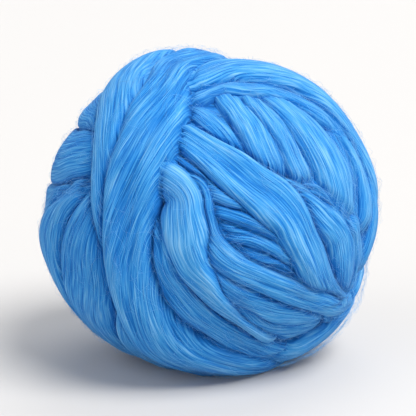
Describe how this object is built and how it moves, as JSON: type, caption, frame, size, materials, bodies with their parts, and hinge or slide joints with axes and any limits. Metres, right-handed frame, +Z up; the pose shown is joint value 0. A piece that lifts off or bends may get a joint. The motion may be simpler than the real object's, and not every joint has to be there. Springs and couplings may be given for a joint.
{
  "type": "chunky knitting yarn ball",
  "caption": "Ball of thick, unspun wool roving, wound by hand in wide overlapping wraps, resting on a small flat spot.",
  "frame": {"origin": "middle of the ball's footprint, on the surface that it rests on", "axes": "+Z up, -Y towards the front as it is usually seen, +X to the right of the front"},
  "size_m": [0.2376, 0.2386, 0.2213],
  "materials": {
    "wool": "matt, soft, unspun merino-like wool fibres in mid blue"
  },
  "bodies": {
    "root": {"yarn_ball": "wool"}
  },
  "joints": []
}
